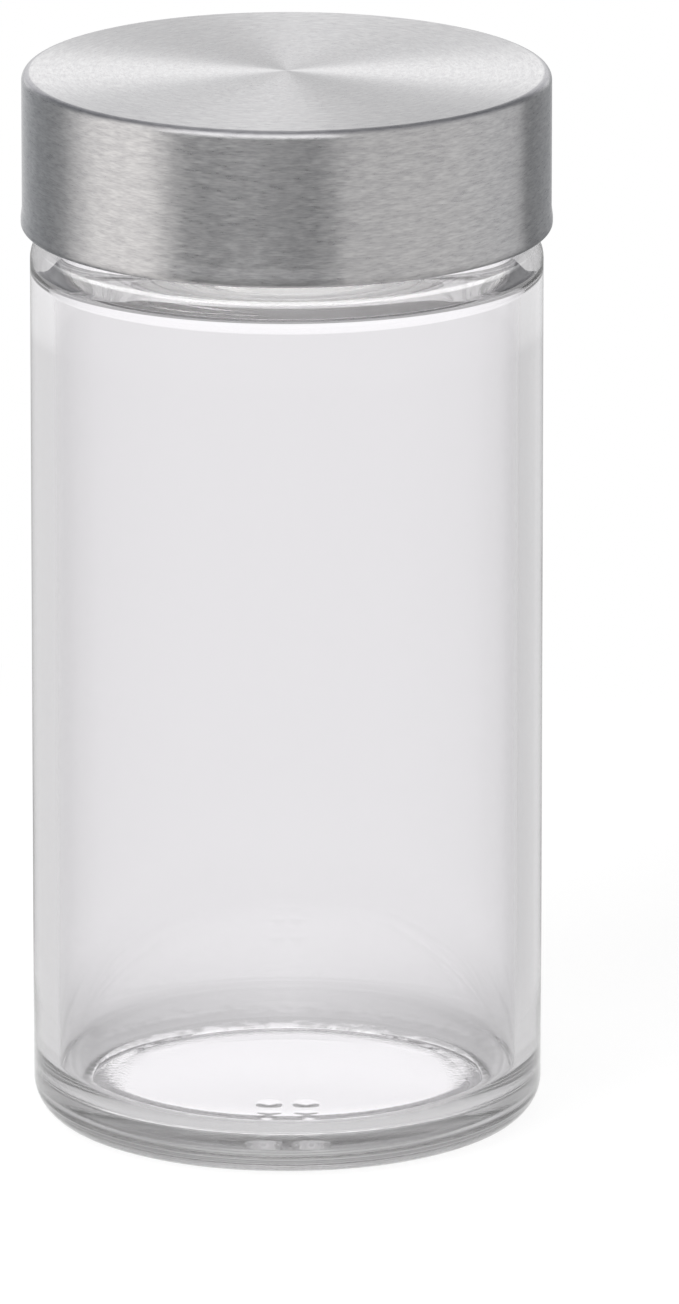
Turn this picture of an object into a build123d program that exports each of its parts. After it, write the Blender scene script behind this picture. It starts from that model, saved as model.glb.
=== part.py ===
from build123d import *
from math import cos, radians, sin, tan
import os

# Glass spice jar with a screw-on steel lid.
# Millimetres, +Z up. The foot stands on Z = 0 and the axis of the jar is the Z axis.

# Overall sizes, lid closed
total_height = 88.0
lid_diameter = 43.4
lid_height = 12.9
lid_overhang = 0.75

# Glass body
body_wall = 2.0
heel_radius = 2.5
floor_height = 2.9
floor_corner_radius = 3.0
floor_crown = 0.08
foot_ring_width = 2.65
foot_edge_radius = 0.3
foot_step_height = 0.5
foot_step_run = 0.5
push_up = 0.08

# Glass shoulder and neck
shoulder_radius = 2.4
shoulder_gap = 0.3
shoulder_thickness = 1.9
shoulder_inner_radius = 2.2
neck_foot_radius = 0.7
neck_wall = 2.3
bore_foot_radius = 0.9
lip_outer_radius = 0.7
lip_inner_radius = 0.5

# Screw thread, right-handed, one start
thread_pitch = 4.23
thread_depth = 1.2
thread_flank_angle = 30.0
thread_clearance = 0.25
flank_clearance = 0.2
jar_thread_crest = 0.9
lid_thread_crest = 0.6
thread_crest_radius = 0.2
lip_to_thread = 2.2
shoulder_to_thread = 2.4
thread_runout_angle = 40.0
thread_end_share = 0.12
thread_root_sink = 0.3
sections_per_turn = 16

# Steel shell of the lid
shell_thickness = 0.4
shell_edge_radius = 0.7
hem_bulge = 0.1
hem_height = 1.6
hem_edge_radius = 0.4
hem_lip_width = 0.8

# Threaded plastic insert inside the shell
insert_plate = 1.1
insert_wall = 1.1
insert_edge_radius = 0.7
insert_lead_in = 0.4
insert_gap = 0.05
flange_height = 1.2
rib_depth = 1.2
rib_width = 0.8
rib_count = 36
liner_bead_reach = 0.6
liner_bead_height = 0.7
liner_bead_gap = 0.1

# Sealing liner
liner_thickness = 0.9
liner_side_gap = 0.15

# Overrun of every cut
overrun = 1.0

# Places that follow from the sizes, from the lid inwards
lid_radius = lid_diameter / 2
body_radius = lid_radius - lid_overhang
skirt_radius = lid_radius - hem_bulge
shell_inner_radius = skirt_radius - shell_thickness
rib_radius = shell_inner_radius - insert_gap
insert_outer_radius = rib_radius - rib_depth
insert_inner_radius = insert_outer_radius - insert_wall
jar_crest_radius = insert_inner_radius - thread_clearance
neck_radius = jar_crest_radius - thread_depth
lid_crest_radius = neck_radius + thread_clearance
bore_radius = neck_radius - neck_wall
cavity_radius = body_radius - body_wall

# Heights that follow from the sizes, from the lid's top down
shell_underside = total_height - shell_thickness
plate_underside = shell_underside - insert_plate
lip_height = plate_underside - liner_thickness
lid_bottom = total_height - lid_height
insert_bottom = lid_bottom + shell_thickness
shoulder_top = lid_bottom - shoulder_gap
cavity_shoulder = shoulder_top - shoulder_thickness

# The lid's thread runs under the jar's and bears up against it
flank_slope = tan(radians(thread_flank_angle))
engagement = jar_crest_radius - lid_crest_radius
thread_drop = (jar_thread_crest + lid_thread_crest) / 2 + engagement * flank_slope + flank_clearance
jar_thread_low = shoulder_top + shoulder_to_thread
jar_thread_high = lip_height - lip_to_thread
lid_thread_foot = lid_thread_crest + 2 * thread_depth * flank_slope
lid_thread_low = insert_bottom + insert_lead_in + lid_thread_foot / 2
lid_thread_high = jar_thread_high - thread_drop


def outline(corners):
    """A closed face through (x, y, corner radius) corners."""
    face = make_face(Polyline(*[(x, y) for x, y, _ in corners], close=True))
    for x, y, radius in corners:
        if radius:
            face = fillet(face.vertices().sort_by_distance((x, y))[0], radius)
    return face


def dome(radius, base, rise):
    """Half the section of a shallow dome that stands on height base."""
    return make_face(
        [
            Line((0, base), (radius, base)),
            TangentArc((0, base + rise), (radius, base), tangent=(1, 0)),
            Line((0, base + rise), (0, base)),
        ]
    )


def turned(face):
    """The round solid that a half section, drawn as (radius, height), sweeps about the axis."""
    return revolve(Plane.XZ * face, Axis.Z)


def thread_section(depth, crest_width, share, inward):
    """A rounded thread's section on its wall, scaled by share, as (radial, axial) from the wall."""
    side = -1 if inward else 1
    crest = share * crest_width / 2
    foot = crest + share * depth * flank_slope
    corners = [
        (-side * thread_root_sink, -foot, 0),
        (0, -foot, 0),
        (side * share * depth, -crest, share * thread_crest_radius),
        (side * share * depth, crest, share * thread_crest_radius),
        (0, foot, 0),
        (-side * thread_root_sink, foot, 0),
    ]
    return outline(corners)


def thread_ridge(wall_radius, crest_width, low, high, drop, inward=False):
    """A screw thread on a round wall, from height low to height high, that runs out at both ends.

    Every thread made here follows one helix, let down by drop, so that two of them stay in mesh.
    """
    first_angle = 360 * (low + drop) / thread_pitch
    last_angle = 360 * (high + drop) / thread_pitch
    steps = max(2, round(sections_per_turn * (last_angle - first_angle) / 360))
    sections = []
    for step in range(steps + 1):
        angle = first_angle + (last_angle - first_angle) * step / steps
        from_end = min(angle - first_angle, last_angle - angle)
        runout = min(1, from_end / thread_runout_angle)
        share = thread_end_share + (1 - thread_end_share) * sin(radians(90 * runout))
        radial = Vector(cos(radians(angle)), sin(radians(angle)), 0)
        height = angle * thread_pitch / 360 - drop
        plane = Plane(
            origin=radial * wall_radius + Vector(0, 0, height),
            x_dir=radial,
            z_dir=radial.cross(Vector(0, 0, 1)),
        )
        sections.append(plane * thread_section(thread_depth, crest_width, share, inward))
    return loft(sections)


def make_jar():
    """The glass: heel, body, shoulder and threaded neck outside, one open hollow inside."""
    outside = outline(
        [
            (0, 0, 0),
            (body_radius, 0, heel_radius),
            (body_radius, shoulder_top, shoulder_radius),
            (neck_radius, shoulder_top, neck_foot_radius),
            (neck_radius, lip_height, lip_outer_radius),
            (0, lip_height, 0),
        ]
    )
    hollow = outline(
        [
            (0, floor_height, 0),
            (cavity_radius, floor_height, floor_corner_radius),
            (cavity_radius, cavity_shoulder, shoulder_inner_radius),
            (bore_radius, cavity_shoulder, bore_foot_radius),
            (bore_radius, lip_height + overrun, 0),
            (0, lip_height + overrun, 0),
        ]
    )
    hollow -= dome(cavity_radius - floor_corner_radius, floor_height, floor_crown)
    ring_inner_radius = body_radius - heel_radius - foot_ring_width
    under_radius = ring_inner_radius - foot_step_run
    recess = outline(
        [
            (0, 0, 0),
            (ring_inner_radius, 0, 0),
            (under_radius, foot_step_height, 0),
            (0, foot_step_height, 0),
        ]
    )
    glass = outside - hollow - recess - dome(under_radius, foot_step_height, push_up)
    glass = fillet(glass.vertices().sort_by_distance((bore_radius, lip_height))[0], lip_inner_radius)
    glass = fillet(glass.vertices().sort_by_distance((ring_inner_radius, 0))[0], foot_edge_radius)
    thread = thread_ridge(neck_radius, jar_thread_crest, jar_thread_low, jar_thread_high, 0)
    return turned(glass) + thread


def make_shell():
    """The lid's drawn steel shell: flat top, straight skirt and a hem turned in under the insert."""
    hem_top = lid_bottom + hem_height
    outside = outline(
        [
            (0, lid_bottom, 0),
            (lid_radius, lid_bottom, hem_edge_radius),
            (lid_radius, lid_bottom + hem_height / 2, hem_height / 2),
            (skirt_radius, hem_top, hem_height / 2),
            (skirt_radius, total_height, shell_edge_radius),
            (0, total_height, 0),
        ]
    )
    inside = outline(
        [
            (0, insert_bottom, 0),
            (shell_inner_radius, insert_bottom, hem_edge_radius / 2),
            (shell_inner_radius, shell_underside, shell_edge_radius - shell_thickness),
            (0, shell_underside, 0),
        ]
    )
    mouth_radius = shell_inner_radius - hem_lip_width
    mouth = outline(
        [
            (0, lid_bottom - overrun, 0),
            (mouth_radius, lid_bottom - overrun, 0),
            (mouth_radius, insert_bottom + shell_thickness / 2, 0),
            (0, insert_bottom + shell_thickness / 2, 0),
        ]
    )
    return turned(outside - inside - mouth)


def make_insert():
    """The moulded inner cap: plate, threaded wall, flange on the hem and ribs out to the shell."""
    flange_top = insert_bottom + flange_height
    outside = outline(
        [
            (0, insert_bottom, 0),
            (rib_radius, insert_bottom, hem_edge_radius),
            (rib_radius, flange_top, 0),
            (insert_outer_radius, flange_top, 0),
            (insert_outer_radius, plate_underside, 0),
            (rib_radius, plate_underside, 0),
            (rib_radius, shell_underside, insert_edge_radius),
            (0, shell_underside, 0),
        ]
    )
    bead_top = lip_height - liner_bead_gap
    bead_radius = insert_inner_radius - liner_bead_reach
    inside = outline(
        [
            (0, insert_bottom - overrun, 0),
            (insert_inner_radius + insert_lead_in + overrun, insert_bottom - overrun, 0),
            (insert_inner_radius, insert_bottom + insert_lead_in, 0),
            (insert_inner_radius, bead_top - liner_bead_height, 0),
            (bead_radius, bead_top - liner_bead_height / 2, liner_bead_height / 4),
            (insert_inner_radius, bead_top, 0),
            (insert_inner_radius, plate_underside, 0),
            (0, plate_underside, 0),
        ]
    )
    insert = turned(outside - inside)
    rib_middle = (insert_outer_radius - insert_wall / 2 + rib_radius) / 2
    rib = Pos(rib_middle, 0, (flange_top + plate_underside) / 2) * Box(
        rib_radius - insert_outer_radius + insert_wall / 2,
        rib_width,
        plate_underside - flange_top,
    )
    ribs = [place * rib for place in PolarLocations(0, rib_count)]
    thread = thread_ridge(
        insert_inner_radius, lid_thread_crest, lid_thread_low, lid_thread_high, thread_drop, inward=True
    )
    return insert + ribs + thread


def make_liner():
    """The foam disc that the lid presses on the jar's lip."""
    liner_radius = insert_inner_radius - liner_side_gap
    disc = outline(
        [
            (0, lip_height, 0),
            (liner_radius, lip_height, 0),
            (liner_radius, plate_underside, 0),
            (0, plate_underside, 0),
        ]
    )
    return turned(disc)


os.makedirs("parts", exist_ok=True)
pieces = {
    "glass_jar": make_jar(),
    "lid_shell": make_shell(),
    "lid_insert": make_insert(),
    "seal_liner": make_liner(),
}
for name, piece in pieces.items():
    export_step(piece, f"parts/{name}.step")
print("bore radius", round(bore_radius, 2), "neck radius", round(neck_radius, 2))
print("lip height", round(lip_height, 2), "lid thread", round(lid_thread_low, 2), round(lid_thread_high, 2))
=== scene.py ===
import math

import bmesh
import bpy
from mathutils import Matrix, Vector


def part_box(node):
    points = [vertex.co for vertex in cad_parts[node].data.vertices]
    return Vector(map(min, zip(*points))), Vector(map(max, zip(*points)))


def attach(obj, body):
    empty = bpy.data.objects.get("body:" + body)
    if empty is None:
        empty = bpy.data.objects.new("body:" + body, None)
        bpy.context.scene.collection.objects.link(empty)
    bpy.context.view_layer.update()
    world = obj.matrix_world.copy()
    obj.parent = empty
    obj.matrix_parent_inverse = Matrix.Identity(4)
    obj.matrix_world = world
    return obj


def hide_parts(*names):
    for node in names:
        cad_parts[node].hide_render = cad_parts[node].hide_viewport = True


# A spice jar of clear glass with a brushed steel screw lid, in metres, on the frame of its solids.

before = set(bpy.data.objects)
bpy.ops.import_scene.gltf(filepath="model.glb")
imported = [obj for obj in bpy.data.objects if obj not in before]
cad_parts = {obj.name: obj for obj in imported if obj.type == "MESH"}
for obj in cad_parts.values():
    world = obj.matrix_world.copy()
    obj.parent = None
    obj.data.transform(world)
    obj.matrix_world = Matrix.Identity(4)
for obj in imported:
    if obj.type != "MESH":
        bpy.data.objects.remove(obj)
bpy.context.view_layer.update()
jar_low, jar_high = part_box("glass_jar")
shell_low, shell_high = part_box("lid_shell")
insert_low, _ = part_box("lid_insert")

# Sizes that the frame gives
body_radius = (jar_high.x - jar_low.x) / 2
lip_height = jar_high.z
lid_radius = (shell_high.x - shell_low.x) / 2
lid_bottom = shell_low.z
lid_top = shell_high.z
insert_bottom = insert_low.z

# Glass body
body_wall = 0.0020
heel_radius = 0.0031
floor_height = 0.0029
floor_corner_radius = 0.0030
floor_crown = 0.00008
foot_ring_width = 0.00205
foot_edge_radius = 0.0003
foot_step_height = 0.0005
foot_step_run = 0.0005
foot_step_round = 0.0008
push_up = 0.00008

# Four plain moulded pips on the underside, two by two, towards the front
pip_spread = 0.0015
pip_back = 0.0088
pip_gap = 0.0021
pip_radius = 0.0012
pip_height = 0.00034

# Short radial ridges that the foot ring stands on
ridge_depth = 0.00003
ridge_count = 90
ridge_uneven_share = 0.4
ridge_beats = (7, 11)

# Glass shoulder and neck
shoulder_gap = 0.0003
shoulder_radius = 0.0024
shoulder_thickness = 0.0019
shoulder_inner_radius = 0.0022
neck_radius = 0.0174
neck_foot_radius = 0.0007
neck_wall = 0.0023
bore_foot_radius = 0.0009
lip_outer_radius = 0.0007
lip_inner_radius = 0.0005
lip_seat_gap = 0.00002

# Screw thread on the neck
thread_pitch = 0.00423
thread_depth = 0.0012
thread_crest = 0.0009
thread_slope = math.tan(math.radians(30))
thread_low_gap = 0.0024
thread_high_gap = 0.0022
thread_runout = math.radians(40)
thread_end_share = 0.12

# Steel shell of the lid
shell_thickness = 0.0004
shell_edge_radius = 0.0007
hem_bulge = 0.0001
hem_height = 0.0016
hem_edge_radius = 0.0004
hem_lip_width = 0.0008
hem_lip_round_share = 1 / 2.1

# Mesh density, and how near the neck's wall a point counts as on it
turn_segments = 360
floor_segments = 96
dome_steps = 8
arc_step = math.radians(7)
plain_row = 0.006
thread_row = 0.00025
ridge_row = 0.00015
pip_row = 0.0002
wall_nearness = 0.0003

# Clear glass: its tint, the light that it takes up per metre, and the shade that it throws
glass_tint = (0.942, 0.934, 0.947, 1)
glass_bend = 1.52
glass_density = 5.5
glass_shade = 0.9

# Waves all over the moulded glass
wave_scale = 55.0
wave_detail = 1.0
wave_strength = 0.04
wave_depth = 0.0005

# Stipple on the foot ring, fainter on the underside
stipple_scale = 4500.0
stipple_detail = 2.0
stipple_depth = 0.00003
skin_depth = 0.000003
stipple_inside = 0.0125
stipple_outside = 0.0150

# Brushed steel: grain as (streaks per metre of profile, streaks per radian round the axis), and tones
fine_grain = (9000.0, 30.0)
broad_grain = (2800.0, 15.0)
grain_detail = 3.0
grain_span = (0.7, 1.3)
steel_dark = (0.58, 0.575, 0.59, 1)
steel_light = (0.84, 0.835, 0.84, 1)
steel_stretch = 0.95
steel_turn = 0.25
gloss_span = (0.6, 1.4)
steel_roughness = (0.26, 0.34)
grain_strength = 0.25
grain_depth = 0.00002

# Painted shade: darker metal colour round the rim, as (share of the edge's radius, colour), and along the
# hem's edge
rim_painted_shade = [
    (0.0, (1, 1, 1)),
    (0.2, (0.62, 0.62, 0.64)),
    (0.6, (0.55, 0.55, 0.58)),
    (0.9, (1, 1, 1)),
]
hem_shade = 0.7

# Satin polypropylene of the insert
plastic_dark = (0.78, 0.78, 0.765, 1)
plastic_light = (0.86, 0.86, 0.85, 1)
plastic_roughness = (0.34, 0.5)
cloud_scale = 160.0
cloud_detail = 3.0
pore_scale = 3500.0
pore_detail = 2.0
pore_strength = 0.35
pore_depth = 0.00003

# Polyethylene foam of the liner
foam_skin = (0.90, 0.90, 0.89, 1)
foam_cell = (0.82, 0.82, 0.81, 1)
foam_roughness = 0.6
cell_scale = 2800.0
cell_reach = 0.7
cell_strength = 0.4
cell_depth = 0.00005

# Light that metal reflects, all round, as (azimuth in degrees from the camera, level, warmth)
studio_levels = [
    (-180, 1.14, 0.0),
    (-174, 0.92, 0.0),
    (-162, 0.52, -0.02),
    (-145, 0.34, -0.03),
    (-132, 0.27, -0.03),
    (-122, 0.28, -0.02),
    (-113, 0.34, -0.01),
    (-103, 0.68, 0.01),
    (-90, 0.92, 0.02),
    (-63, 0.88, 0.02),
    (-50, 0.33, 0.00),
    (-40, 0.21, -0.01),
    (-20, 0.28, 0.00),
    (12, 0.17, -0.01),
    (20, 0.28, 0.00),
    (28, 0.56, 0.01),
    (75, 0.60, 0.01),
    (108, 0.57, 0.00),
    (121, 0.56, 0.00),
    (127, 0.21, -0.02),
    (145, 0.28, -0.02),
    (162, 0.30, -0.03),
    (174, 0.60, 0.0),
    (180, 1.14, 0.0),
]

# Light from above that it reflects, which takes over between two elevations in degrees
overhead_level = 0.45
overhead_from = 50.0
overhead_full = 80.0

# Panels in it as (azimuth, half width, elevation, half height, softness, level), the back one on both sides
front_box = (-18, 40, 45, 18, 8, 1.6)
back_strip = (180, 26, 14, 9, 5, 1.04)

# Light that reaches the eye through the glass: white behind and grey at the sides, as azimuths and levels
glass_levels = [
    (-180, 0.96),
    (-172, 0.96),
    (-166, 0.90),
    (-160, 0.85),
    (-150, 0.81),
    (-137, 0.79),
    (-128, 0.62),
    (-80, 0.66),
    (-50, 0.72),
    (50, 0.72),
    (80, 0.64),
    (128, 0.58),
    (137, 0.68),
    (158, 0.76),
    (165, 0.90),
    (172, 0.96),
    (180, 0.96),
]

# How that light changes with its elevation in degrees
glass_rises = [
    (-90, 1.0),
    (-13.3, 1.0),
    (-12.3, 1.25),
    (-2, 1.25),
    (1, 0.50),
    (6, 0.44),
    (7.5, 0.25),
    (9, 0.25),
    (10.5, 0.44),
    (11.5, 0.44),
    (12.5, 0.86),
    (16.5, 0.86),
    (17.5, 0.42),
    (29, 0.42),
    (34, 1.10),
    (50, 1.10),
    (90, 0.80),
]

# Light that the polished glass mirrors: grey, with a bright ring that glints in edges that lean back so far
mirror_level = 0.42
glint_level = 7.0
glint_lean = math.radians(30)
glint_sharp = math.radians(2)
glint_soft = math.radians(6)
glint_in = 0.66
glint_out = 0.82

# Floor as the eye sees it
floor_radius = 0.14
floor_shade = 0.25
floor_glow = 0.80

# Floor as the glass shows it: a painted pool of light with a ragged edge under the foot and painted shadow
# round it, as (distance, level)
pool_centre = (-0.0004, 0.0012, 0.0)
pool_rag = 0.0030
pool_rag_scale = 700.0
pool_rag_detail = 3.0
floor_reach = 0.0628
pool_and_shadow_levels = [
    (0.0, 1.35),
    (0.0148, 1.35),
    (0.0158, 0.90),
    (0.0164, 0.66),
    (0.0205, 0.68),
    (0.0225, 0.78),
    (0.0300, 0.84),
    (0.0440, 0.90),
    (0.0628, 0.95),
]

# Painted shade that changes that round the foot, by azimuth
painted_shade_sides = [
    (-180, 1.03),
    (-150, 0.92),
    (-130, 0.80),
    (-60, 0.80),
    (0, 0.95),
    (60, 0.78),
    (130, 0.76),
    (150, 0.88),
    (180, 1.03),
]

# Lamps as (name, place, aim, size, power, spread in degrees)
lamps = [
    ("key", (-0.35, -0.45, 0.6), (0, 0, lid_top / 2), 0.3, 3.0, 180),
    ("back", (0, 0.06, 0.02), (0, -0.015, 0.08), 0.03, 0.016, 60),
    ("front", (0, -0.06, 0.02), (0, 0.015, 0.08), 0.03, 0.0026, 60),
]

# Camera, as fitted to the rims and base line in the photograph; the lens is in frame heights
camera_back = 1.316
camera_height = 0.399
aim_height = 0.03896
aim_side = 0.0043
sensor_size = 36.0
lens_share = 16616 / 1304

# How near and how far the camera sees, as shares of how far back it stands
near_share = 1 / 10
far_share = 10

# Bounces of light, enough for the paths that run up and down inside the glass walls
light_bounces = 24


def rounded(corners):
    """Points along an outline of (radius, height, corner radius) corners, with an arc at each corner."""
    points = [Vector(corners[0][:2])]
    for before, corner, after in zip(corners, corners[1:], corners[2:]):
        place = Vector(corner[:2])
        radius = corner[2]
        if not radius:
            points.append(place)
            continue
        back = (Vector(before[:2]) - place).normalized()
        ahead = (Vector(after[:2]) - place).normalized()
        half = back.angle(ahead) / 2
        centre = place + (back + ahead).normalized() * radius / math.sin(half)
        start = place + back * radius / math.tan(half) - centre
        turn = start.angle_signed(place + ahead * radius / math.tan(half) - centre)
        steps = max(2, math.ceil(abs(turn) / arc_step))
        for step in range(steps + 1):
            angle = -turn * step / steps
            spoke = Vector((
                start.x * math.cos(angle) - start.y * math.sin(angle),
                start.x * math.sin(angle) + start.y * math.cos(angle),
            ))
            points.append(centre + spoke)
    points.append(Vector(corners[-1][:2]))
    return points


def spaced(points, longest):
    """The same outline with no stretch longer than longest(its middle) says."""
    dense = [points[0]]
    for start, end in zip(points, points[1:]):
        parts = max(1, math.ceil((end - start).length / longest((start + end) / 2)))
        dense += [start.lerp(end, part / parts) for part in range(1, parts + 1)]
    return dense


def dome_points(radius, base, rise, outward):
    """Corners of a shallow dome from its axis to its edge, or back."""
    sphere = (radius * radius + rise * rise) / (2 * rise)
    corners = []
    for step in range(dome_steps + 1):
        place = radius * step / dome_steps
        corners.append((place, base + rise - sphere + math.sqrt(sphere * sphere - place * place), 0))
    return corners if outward else corners[::-1]


def turned(name, points, reshape=None):
    """A closed mesh that an outline from axis to axis sweeps about the Z axis.

    reshape, if given, takes a point's radius, height and angle and gives its new radius and height.
    """
    segments = turn_segments
    verts = []
    for point in points[1:-1]:
        for segment in range(segments):
            angle = 2 * math.pi * segment / segments
            radius, height = point
            if reshape:
                radius, height = reshape(radius, height, angle)
            verts.append((radius * math.cos(angle), radius * math.sin(angle), height))
    rings = len(points) - 2
    faces = []
    for ring in range(rings - 1):
        here = ring * segments
        above = here + segments
        for segment in range(segments):
            onward = (segment + 1) % segments
            faces.append((here + segment, here + onward, above + onward, above + segment))
    first_pole = len(verts)
    verts.append((0.0, 0.0, points[0].y))
    verts.append((0.0, 0.0, points[-1].y))
    last_ring = (rings - 1) * segments
    for segment in range(segments):
        onward = (segment + 1) % segments
        faces.append((first_pole, onward, segment))
        faces.append((first_pole + 1, last_ring + segment, last_ring + onward))
    mesh = bpy.data.meshes.new(name)
    mesh.from_pydata(verts, [], faces)
    work = bmesh.new()
    work.from_mesh(mesh)
    bmesh.ops.recalc_face_normals(work, faces=work.faces)
    work.to_mesh(mesh)
    work.free()
    mesh.shade_smooth()
    made = bpy.data.objects.new(name, mesh)
    bpy.context.scene.collection.objects.link(made)
    return made


def thread_rise(height, angle, low, high):
    """How far the jar's thread stands out of the neck at a height and an angle."""
    along = height / thread_pitch - angle / (2 * math.pi)
    offset = (along - round(along)) * thread_pitch
    middle = height - offset
    from_end = min(middle - low, high - middle) / thread_pitch * 2 * math.pi
    if from_end < 0:
        return 0.0
    runout = math.sin(min(1, from_end / thread_runout) * math.pi / 2)
    share = thread_end_share + (1 - thread_end_share) * runout
    crest = share * thread_crest / 2
    flank = share * thread_depth * thread_slope
    up = min(1, max(0, (crest + flank - abs(offset)) / flank))
    return share * thread_depth * up


def ridge_rise(radius, angle, inner, outer):
    """How far the foot ring is cut away between the short radial ridges that the jar stands on."""
    across = math.sin(math.pi * min(1, max(0, (radius - inner) / (outer - inner))))
    around = (1 - math.cos(ridge_count * angle)) / 2
    beat = math.sin(ridge_beats[0] * angle) * math.sin(ridge_beats[1] * angle)
    uneven = 1 - ridge_uneven_share + ridge_uneven_share * beat
    return ridge_depth * math.sqrt(across) * around * uneven


def pip_rise(radius, angle):
    """How far the pips stand out of the underside."""
    place = Vector((radius * math.cos(angle), radius * math.sin(angle)))
    rise = 0.0
    for side in (-1, 1):
        for row in (-1, 1):
            centre = Vector((side * pip_spread, -pip_back + row * pip_gap))
            share = max(0, 1 - (place - centre).length / pip_radius)
            rise += pip_height * share * share * (3 - 2 * share)
    return rise


def make_jar():
    """The glass jar as one dense turned mesh, with its thread and the pips and ridges of its foot."""
    shoulder_top = lid_bottom - shoulder_gap
    lip_top = lip_height - lip_seat_gap
    cavity_radius = body_radius - body_wall
    cavity_shoulder = shoulder_top - shoulder_thickness
    bore_radius = neck_radius - neck_wall
    ring_outer = body_radius - heel_radius
    ring_inner = ring_outer - foot_ring_width
    under_radius = ring_inner - foot_step_run
    corners = dome_points(under_radius - foot_step_run, foot_step_height, push_up, outward=True)
    corners += [
        (under_radius, foot_step_height, foot_step_round),
        (ring_inner, 0, foot_edge_radius),
        (body_radius, 0, heel_radius),
        (body_radius, shoulder_top, shoulder_radius),
        (neck_radius, shoulder_top, neck_foot_radius),
        (neck_radius, lip_top, lip_outer_radius),
        (bore_radius, lip_top, lip_inner_radius),
        (bore_radius, cavity_shoulder, bore_foot_radius),
        (cavity_radius, cavity_shoulder, shoulder_inner_radius),
        (cavity_radius, floor_height, floor_corner_radius),
    ]
    corners += dome_points(cavity_radius - floor_corner_radius, floor_height, floor_crown, outward=False)
    thread_low = shoulder_top + thread_low_gap
    thread_high = lip_height - thread_high_gap
    pip_inner = pip_back - pip_gap - pip_radius
    pip_outer = math.hypot(pip_spread, pip_back + pip_gap) + pip_radius

    def on_neck(radius, height):
        return radius > neck_radius - wall_nearness and height > shoulder_top

    def near_pips(radius, height):
        return pip_inner < radius < pip_outer and height < 2 * foot_step_height

    def reshape(radius, height, angle):
        if on_neck(radius, height):
            radius += thread_rise(height, angle, thread_low, thread_high)
        if height < ridge_depth and ring_inner < radius:
            height += ridge_rise(radius, angle, ring_inner + foot_edge_radius, ring_outer)
        if near_pips(radius, height):
            height -= pip_rise(radius, angle)
        return radius, height

    def row(place):
        if place.y < ridge_depth:
            return ridge_row
        if near_pips(*place):
            return pip_row
        return thread_row if on_neck(*place) else plain_row

    return turned("glass_body", spaced(rounded(corners), row), reshape)


def make_shell():
    """The steel shell of the lid as one dense turned mesh."""
    skirt_radius = lid_radius - hem_bulge
    inner_radius = skirt_radius - shell_thickness
    hem_top = lid_bottom + hem_height
    mouth_radius = inner_radius - hem_lip_width
    hem_lip_round = shell_thickness * hem_lip_round_share
    corners = [
        (0, lid_top, 0),
        (skirt_radius, lid_top, shell_edge_radius),
        (skirt_radius, hem_top, hem_height / 3),
        (lid_radius, lid_bottom + hem_height / 2, hem_height / 3),
        (lid_radius, lid_bottom, hem_edge_radius),
        (mouth_radius, lid_bottom, hem_lip_round),
        (mouth_radius, insert_bottom, hem_lip_round),
        (inner_radius, insert_bottom, hem_edge_radius / 2),
        (inner_radius, lid_top - shell_thickness, shell_edge_radius - shell_thickness),
        (0, lid_top - shell_thickness, 0),
    ]
    return turned("steel_shell", spaced(rounded(corners), lambda place: plain_row))


def add(tree, kind, inputs=None, **settings):
    """A new node with its settings, and its inputs set to values or linked to sockets."""
    node = tree.nodes.new(kind)
    for key, value in settings.items():
        setattr(node, key, value)
    for key, value in (inputs or {}).items():
        if isinstance(value, bpy.types.NodeSocket):
            tree.links.new(value, node.inputs[key])
        else:
            node.inputs[key].default_value = value
    return node


def number(tree, operation, *values, **settings):
    """The number that a sum of values or sockets gives."""
    inputs = dict(enumerate(values))
    return add(tree, "ShaderNodeMath", inputs, operation=operation, **settings).outputs[0]


def vector(tree, operation, *values):
    """The vector that a sum of vectors or sockets gives."""
    inputs = dict(enumerate(values))
    return add(tree, "ShaderNodeVectorMath", inputs, operation=operation).outputs["Vector"]


def measure(tree, operation, *values):
    """The length of a vector, or the distance between two."""
    inputs = dict(enumerate(values))
    return add(tree, "ShaderNodeVectorMath", inputs, operation=operation).outputs["Value"]


def scaled(tree, direction, factor):
    """A vector times a number."""
    inputs = {0: direction, "Scale": factor}
    return add(tree, "ShaderNodeVectorMath", inputs, operation="SCALE").outputs["Vector"]


def object_place(tree):
    """Where a point of the surface lies on its object."""
    return add(tree, "ShaderNodeTexCoord").outputs["Object"]


def axes_of(tree, place):
    """The X, Y and Z of a vector."""
    return add(tree, "ShaderNodeSeparateXYZ", {"Vector": place}).outputs


def flattened(tree, place):
    """A vector without its height."""
    return vector(tree, "MULTIPLY", place, (1, 1, 0))


def noise(tree, place, scale, detail):
    """Soft noise between 0 and 1."""
    inputs = {"Vector": place, "Scale": scale, "Detail": detail}
    return add(tree, "ShaderNodeTexNoise", inputs).outputs["Fac"]


def ranged(tree, value, start, end, low=0.0, high=1.0, **settings):
    """A number that goes from low to high while value goes from start to end."""
    inputs = {"Value": value, "From Min": start, "From Max": end, "To Min": low, "To Max": high}
    return add(tree, "ShaderNodeMapRange", inputs, **settings).outputs[0]


def smooth_step(tree, value, start, end):
    """A share that rises smoothly from none at start to all at end."""
    return ranged(tree, value, start, end, interpolation_type="SMOOTHSTEP")


def grey(level):
    """A colour of one level."""
    return (level, level, level, 1)


def blended(tree, share, first, second):
    """A colour that goes from first to second with share."""
    return add(tree, "ShaderNodeMix", {0: share, 6: first, 7: second}, data_type="RGBA").outputs[2]


def multiplied(tree, first, second):
    """The product of two colours."""
    inputs = {0: 1.0, 6: first, 7: second}
    return add(tree, "ShaderNodeMix", inputs, data_type="RGBA", blend_type="MULTIPLY").outputs[2]


def ramp(tree, share, stops):
    """A colour that goes through a list of (share, colour)."""
    node = add(tree, "ShaderNodeValToRGB", {"Fac": share})
    made = node.color_ramp.elements
    made.remove(made[1])
    for count, (place, colour) in enumerate(stops):
        stop = made.new(place) if count else made[0]
        stop.position = place
        stop.color = (*colour, 1)
    return node.outputs["Color"]


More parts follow.
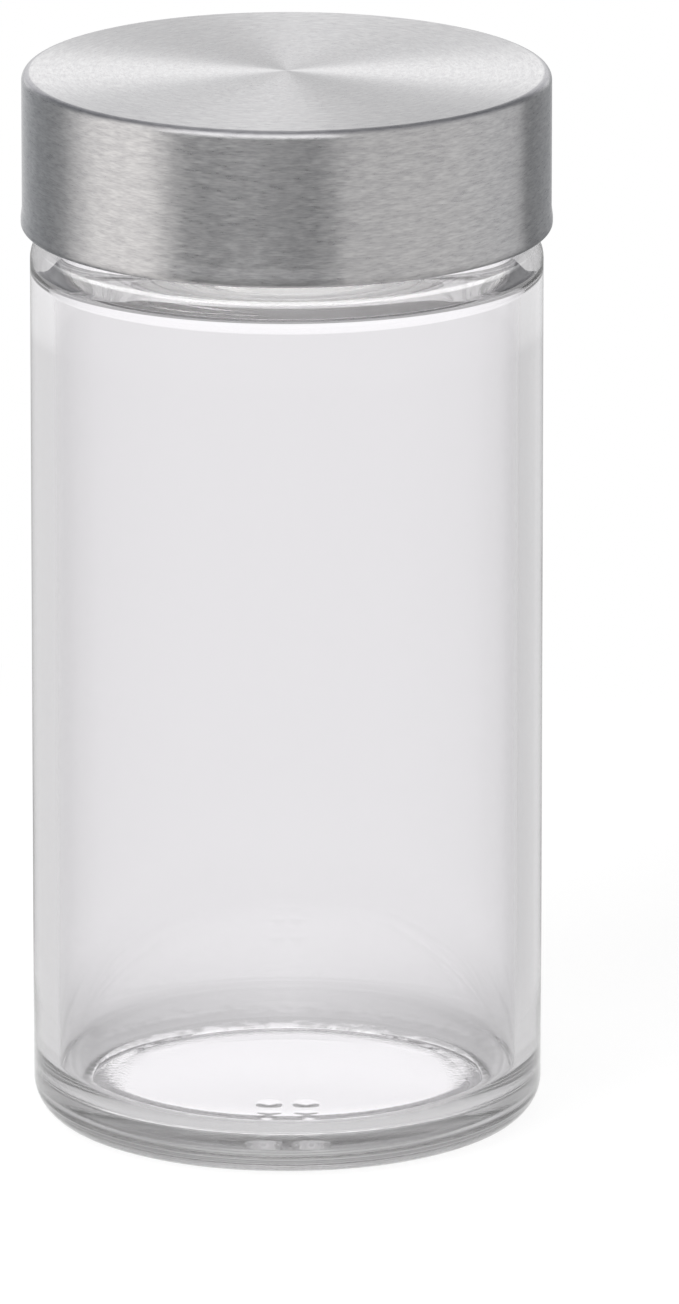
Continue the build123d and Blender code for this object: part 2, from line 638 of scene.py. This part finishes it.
def azimuth_of(tree, axes):
    """The angle round the Z axis from the camera's side, from its X, Y and Z."""
    toward = number(tree, "MULTIPLY", axes["Y"], -1.0)
    return number(tree, "ARCTAN2", axes["X"], toward)


def all_round(tree, azimuth, levels):
    """The light at an azimuth, from a list of (azimuth in degrees, level) with or without a warmth."""
    share = ranged(tree, azimuth, -math.pi, math.pi)
    stops = []
    for degrees, level, *warmth in levels:
        tint = warmth[0] if warmth else 0
        stops.append(((degrees + 180) / 360, (level * (1 + tint), level, level * (1 - tint))))
    return ramp(tree, share, stops)


def new_material(name, **values):
    """A material, its node tree and its Principled shader with the values given by input name."""
    material = bpy.data.materials.new(name)
    material.use_nodes = True
    tree = material.node_tree
    shader = tree.nodes["Principled BSDF"]
    for key, value in values.items():
        shader.inputs[key.replace("_", " ")].default_value = value
    return material, tree, shader


def relief(tree, height, strength, depth, under=None, **settings):
    """The bumps that a height between 0 and 1 makes, on top of other bumps if given."""
    inputs = {"Height": height, "Strength": strength, "Distance": depth}
    if under is not None:
        inputs["Normal"] = under
    return add(tree, "ShaderNodeBump", inputs, **settings).outputs["Normal"]


def brushed_grain(tree, across, along):
    """Noise in long streaks round the Z axis, so many across a metre of profile and along a radian."""
    place = object_place(tree)
    flat = flattened(tree, place)
    radius = measure(tree, "LENGTH", flat)
    travel = number(tree, "SUBTRACT", radius, axes_of(tree, place)["Z"])
    around = scaled(tree, vector(tree, "NORMALIZE", flat), along)
    lift = add(tree, "ShaderNodeCombineXYZ", {"Z": number(tree, "MULTIPLY", travel, across)}).outputs[0]
    return noise(tree, vector(tree, "ADD", around, lift), 1.0, grain_detail)


def foot_relief(tree, place):
    """The height of the stipple under the foot."""
    radius = measure(tree, "LENGTH", flattened(tree, place))
    ring = smooth_step(tree, radius, stipple_inside, stipple_outside)
    depth = ranged(tree, ring, 0.0, 1.0, skin_depth, stipple_depth)
    height = number(tree, "MULTIPLY", noise(tree, place, stipple_scale, stipple_detail), depth)
    low = smooth_step(tree, axes_of(tree, place)["Z"], 2 * foot_step_height, foot_step_height)
    return number(tree, "MULTIPLY", height, low)


def glass_material():
    """Clear soda-lime glass, faintly wavy as moulded glass is, that lets lamps through."""
    material, tree, shader = new_material(
        "clear_glass",
        Base_Color=glass_tint,
        Roughness=0.0,
        IOR=glass_bend,
        Transmission_Weight=1.0,
    )
    place = object_place(tree)
    waves = relief(tree, noise(tree, place, wave_scale, wave_detail), wave_strength, wave_depth)
    tree.links.new(relief(tree, foot_relief(tree, place), 1.0, 1.0, waves), shader.inputs["Normal"])
    path = add(tree, "ShaderNodeLightPath").outputs
    clear = add(tree, "ShaderNodeBsdfTransparent", {"Color": grey(glass_shade)}).outputs["BSDF"]
    shadows = {0: path["Is Shadow Ray"], 1: shader.outputs["BSDF"], 2: clear}
    out = tree.nodes["Material Output"].inputs
    tree.links.new(add(tree, "ShaderNodeMixShader", shadows).outputs[0], out["Surface"])
    taken = add(tree, "ShaderNodeVolumeAbsorption", {"Color": (0, 0, 0, 1), "Density": glass_density})
    tree.links.new(taken.outputs["Volume"], out["Volume"])
    return material


def steel_material():
    """Stainless steel brushed in circles round the lid's axis, with painted shade on the rim and the hem's
    edge.
    """
    material, tree, shader = new_material(
        "brushed_steel",
        Metallic=1.0,
        Anisotropic=steel_stretch,
        Anisotropic_Rotation=steel_turn,
    )
    tangent = add(tree, "ShaderNodeTangent", direction_type="RADIAL", axis="Z")
    tree.links.new(tangent.outputs["Tangent"], shader.inputs["Tangent"])
    fine = brushed_grain(tree, *fine_grain)
    grain = number(tree, "ADD", fine, brushed_grain(tree, *broad_grain))
    colour = blended(tree, ranged(tree, grain, *grain_span), steel_dark, steel_light)
    place = object_place(tree)
    # Painted shade: the colour darkens across the rim's edge radius
    rim_out = lid_radius - hem_bulge
    radius = measure(tree, "LENGTH", flattened(tree, place))
    rim = ranged(tree, radius, rim_out - shell_edge_radius, rim_out)
    colour = multiplied(tree, colour, ramp(tree, rim, rim_painted_shade))
    # Painted shade: the colour darkens towards the hem's lower edge
    low = smooth_step(tree, axes_of(tree, place)["Z"], lid_bottom + 2 * hem_edge_radius, lid_bottom)
    colour = scaled(tree, colour, ranged(tree, low, 0.0, 1.0, 1.0, hem_shade))
    tree.links.new(colour, shader.inputs["Base Color"])
    tree.links.new(ranged(tree, grain, *gloss_span, *steel_roughness), shader.inputs["Roughness"])
    tree.links.new(relief(tree, fine, grain_strength, grain_depth), shader.inputs["Normal"])
    return material


def plastic_material():
    """Satin natural polypropylene: cloudy, with a fine moulded texture."""
    material, tree, shader = new_material("insert_plastic")
    place = object_place(tree)
    clouds = noise(tree, place, cloud_scale, cloud_detail)
    pores = noise(tree, place, pore_scale, pore_detail)
    tree.links.new(blended(tree, clouds, plastic_dark, plastic_light), shader.inputs["Base Color"])
    tree.links.new(ranged(tree, clouds, 0.0, 1.0, *plastic_roughness), shader.inputs["Roughness"])
    tree.links.new(relief(tree, pores, pore_strength, pore_depth), shader.inputs["Normal"])
    return material


def foam_material():
    """White polyethylene foam: a smooth skin over fine closed cells."""
    material, tree, shader = new_material("liner_foam", Roughness=foam_roughness)
    inputs = {"Vector": object_place(tree), "Scale": cell_scale}
    cells = add(tree, "ShaderNodeTexVoronoi", inputs).outputs["Distance"]
    colour = blended(tree, ranged(tree, cells, 0.0, cell_reach), foam_skin, foam_cell)
    tree.links.new(colour, shader.inputs["Base Color"])
    bumps = relief(tree, cells, cell_strength, cell_depth, invert=True)
    tree.links.new(bumps, shader.inputs["Normal"])
    return material


def panel(tree, room, side, rise, shape):
    """The room's light with a soft-edged panel in it, at a side angle and a rise."""
    middle, width, middle_rise, height, soft, level = shape
    shares = []
    for angle, centre, half in ((side, middle, width), (rise, middle_rise, height)):
        off = number(tree, "ABSOLUTE", number(tree, "SUBTRACT", angle, math.radians(centre)))
        shares.append(smooth_step(tree, off, math.radians(half + soft), math.radians(half)))
    return blended(tree, number(tree, "MULTIPLY", *shares), room, grey(level))


def metal_light(tree, azimuth, rise):
    """The light that metal and matt surfaces get: levels all round, one overhead and two panels."""
    above = smooth_step(tree, rise, math.radians(overhead_from), math.radians(overhead_full))
    room = blended(tree, above, all_round(tree, azimuth, studio_levels), grey(overhead_level))
    room = panel(tree, room, azimuth, rise, front_box)
    return panel(tree, room, number(tree, "ABSOLUTE", azimuth), rise, back_strip)


def mirror_light(tree, place):
    """The light that the polished glass mirrors, brighter where its surface leans back by glint_lean."""
    eye = Vector((0, -camera_back, camera_height - lid_bottom)).normalized()
    lean = axes_of(tree, vector(tree, "NORMALIZE", vector(tree, "ADD", place, eye)))
    off = number(tree, "SUBTRACT", number(tree, "ARCSINE", lean["Z"]), glint_lean)
    near = smooth_step(tree, number(tree, "ABSOLUTE", off), glint_soft, glint_sharp)
    facing = smooth_step(tree, number(tree, "ABSOLUTE", lean["X"]), glint_out, glint_in)
    glint = number(tree, "MULTIPLY", near, facing)
    gleam = ranged(tree, glint, 0.0, 1.0, mirror_level, glint_level)
    return add(tree, "ShaderNodeCombineXYZ", {"X": gleam, "Y": gleam, "Z": gleam}).outputs[0]


def through_light(tree, azimuth, rise):
    """The light that reaches the eye through the glass."""
    share = ranged(tree, rise, math.radians(-90), math.radians(90))
    stops = [((degrees + 90) / 180, (level, level, level)) for degrees, level in glass_rises]
    return multiplied(tree, all_round(tree, azimuth, glass_levels), ramp(tree, share, stops))


def make_studio():
    """The world: white to the camera, with a light of its own for metal, in glass and through glass."""
    world = bpy.data.worlds.new("studio")
    bpy.context.scene.world = world
    world.use_nodes = True
    tree = world.node_tree
    place = add(tree, "ShaderNodeTexCoord").outputs["Generated"]
    axes = axes_of(tree, place)
    azimuth = azimuth_of(tree, axes)
    rise = number(tree, "ARCSINE", axes["Z"])
    path = add(tree, "ShaderNodeLightPath").outputs
    room = metal_light(tree, azimuth, rise)
    room = blended(tree, path["Is Singular Ray"], room, mirror_light(tree, place))
    room = blended(tree, path["Is Transmission Ray"], room, through_light(tree, azimuth, rise))
    room = blended(tree, path["Is Camera Ray"], room, grey(1))
    tree.links.new(room, tree.nodes["Background"].inputs["Color"])


def floor_seen(tree, far):
    """The floor to the eye: a plain white that keeps the shadow and fades into the white round it."""
    lit = add(tree, "ShaderNodeBsdfDiffuse", {"Color": grey(floor_shade)}).outputs[0]
    glow = add(tree, "ShaderNodeEmission", {"Strength": floor_glow}).outputs[0]
    near = add(tree, "ShaderNodeAddShader", {0: lit, 1: glow}).outputs[0]
    white = add(tree, "ShaderNodeEmission", {"Strength": 1.0}).outputs[0]
    fade = smooth_step(tree, far, floor_radius / 2, floor_radius)
    return add(tree, "ShaderNodeMixShader", {0: fade, 1: near, 2: white}).outputs[0]


def floor_through_glass(tree, place, far):
    """The floor as the glass shows it: a painted pool of light under the foot and painted shadow in the
    greys round it.
    """
    rag = noise(tree, place, pool_rag_scale, pool_rag_detail)
    rag = ranged(tree, rag, 0.0, 1.0, -pool_rag, pool_rag, clamp=False)
    from_pool = number(tree, "ADD", measure(tree, "DISTANCE", place, pool_centre), rag)
    share = number(tree, "DIVIDE", from_pool, floor_reach)
    # Painted light and shadow: the bright pool under the foot and the darker greys round it are emitted
    # colour
    stops = [(distance / floor_reach, (level, level, level)) for distance, level in pool_and_shadow_levels]
    # Painted shade round the foot, by azimuth, faded out beyond the foot
    sides = all_round(tree, azimuth_of(tree, axes_of(tree, place)), painted_shade_sides)
    outside = smooth_step(tree, far, body_radius - heel_radius, body_radius)
    sides = blended(tree, outside, grey(1), sides)
    levels = multiplied(tree, ramp(tree, share, stops), sides)
    return add(tree, "ShaderNodeEmission", {"Color": levels}).outputs[0]


def make_floor():
    """A small white floor that fades into the white all round it and can't be seen from below.

    All but the camera see it only as far as floor_reach.
    """
    mesh = bpy.data.meshes.new("floor")
    work = bmesh.new()
    bmesh.ops.create_circle(work, cap_ends=True, segments=floor_segments, radius=floor_radius)
    work.to_mesh(mesh)
    work.free()
    floor = bpy.data.objects.new("floor", mesh)
    bpy.context.scene.collection.objects.link(floor)
    material, tree, shader = new_material("white_floor")
    tree.nodes.remove(shader)
    place = object_place(tree)
    far = measure(tree, "LENGTH", place)
    path = add(tree, "ShaderNodeLightPath").outputs
    inputs = {
        0: path["Is Transmission Ray"],
        1: floor_seen(tree, far),
        2: floor_through_glass(tree, place, far),
    }
    kind = add(tree, "ShaderNodeMixShader", inputs).outputs[0]
    clear = add(tree, "ShaderNodeBsdfTransparent").outputs[0]
    beyond = smooth_step(tree, far, floor_reach / 2, floor_reach)
    hidden = number(tree, "SUBTRACT", 1.0, path["Is Camera Ray"])
    under = add(tree, "ShaderNodeNewGeometry").outputs["Backfacing"]
    cut = number(tree, "MULTIPLY_ADD", beyond, hidden, under, use_clamp=True)
    both = add(tree, "ShaderNodeMixShader", {0: cut, 1: kind, 2: clear}).outputs[0]
    tree.links.new(both, tree.nodes["Material Output"].inputs["Surface"])
    mesh.materials.append(material)


def make_lamp(name, place, aim, size, power, spread):
    """A square soft lamp that looks from place to aim and isn't mirrored."""
    light = bpy.data.lights.new(name, "AREA")
    light.size = size
    light.energy = power
    light.spread = math.radians(spread)
    lamp = bpy.data.objects.new(name, light)
    lamp.location = place
    lamp.rotation_euler = (Vector(aim) - Vector(place)).to_track_quat("-Z", "Y").to_euler()
    lamp.visible_camera = False
    lamp.visible_glossy = False
    lamp.visible_transmission = False
    bpy.context.scene.collection.objects.link(lamp)


def make_camera():
    """A long lens in front that looks down at the jar, as the photograph was taken."""
    data = bpy.data.cameras.new("camera")
    data.sensor_width = sensor_size
    data.lens = lens_share * sensor_size
    data.clip_start = camera_back * near_share
    data.clip_end = camera_back * far_share
    camera = bpy.data.objects.new("camera", data)
    camera.location = (0, -camera_back, camera_height)
    aim = Vector((aim_side, 0, aim_height)) - camera.location
    camera.rotation_euler = aim.to_track_quat("-Z", "Y").to_euler()
    bpy.context.scene.collection.objects.link(camera)
    bpy.context.scene.camera = camera


jar = make_jar()
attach(jar, "jar")
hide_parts("glass_jar")
shell = make_shell()
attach(shell, "cap")
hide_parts("lid_shell")
jar.data.materials.append(glass_material())
shell.data.materials.append(steel_material())
for node, material in (("lid_insert", plastic_material()), ("seal_liner", foam_material())):
    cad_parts[node].data.materials.clear()
    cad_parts[node].data.materials.append(material)
make_studio()
make_floor()
for lamp in lamps:
    make_lamp(*lamp)
make_camera()
scene = bpy.context.scene
scene.view_settings.view_transform = "Standard"
scene.cycles.max_bounces = light_bounces
scene.cycles.glossy_bounces = light_bounces
scene.cycles.transmission_bounces = light_bounces
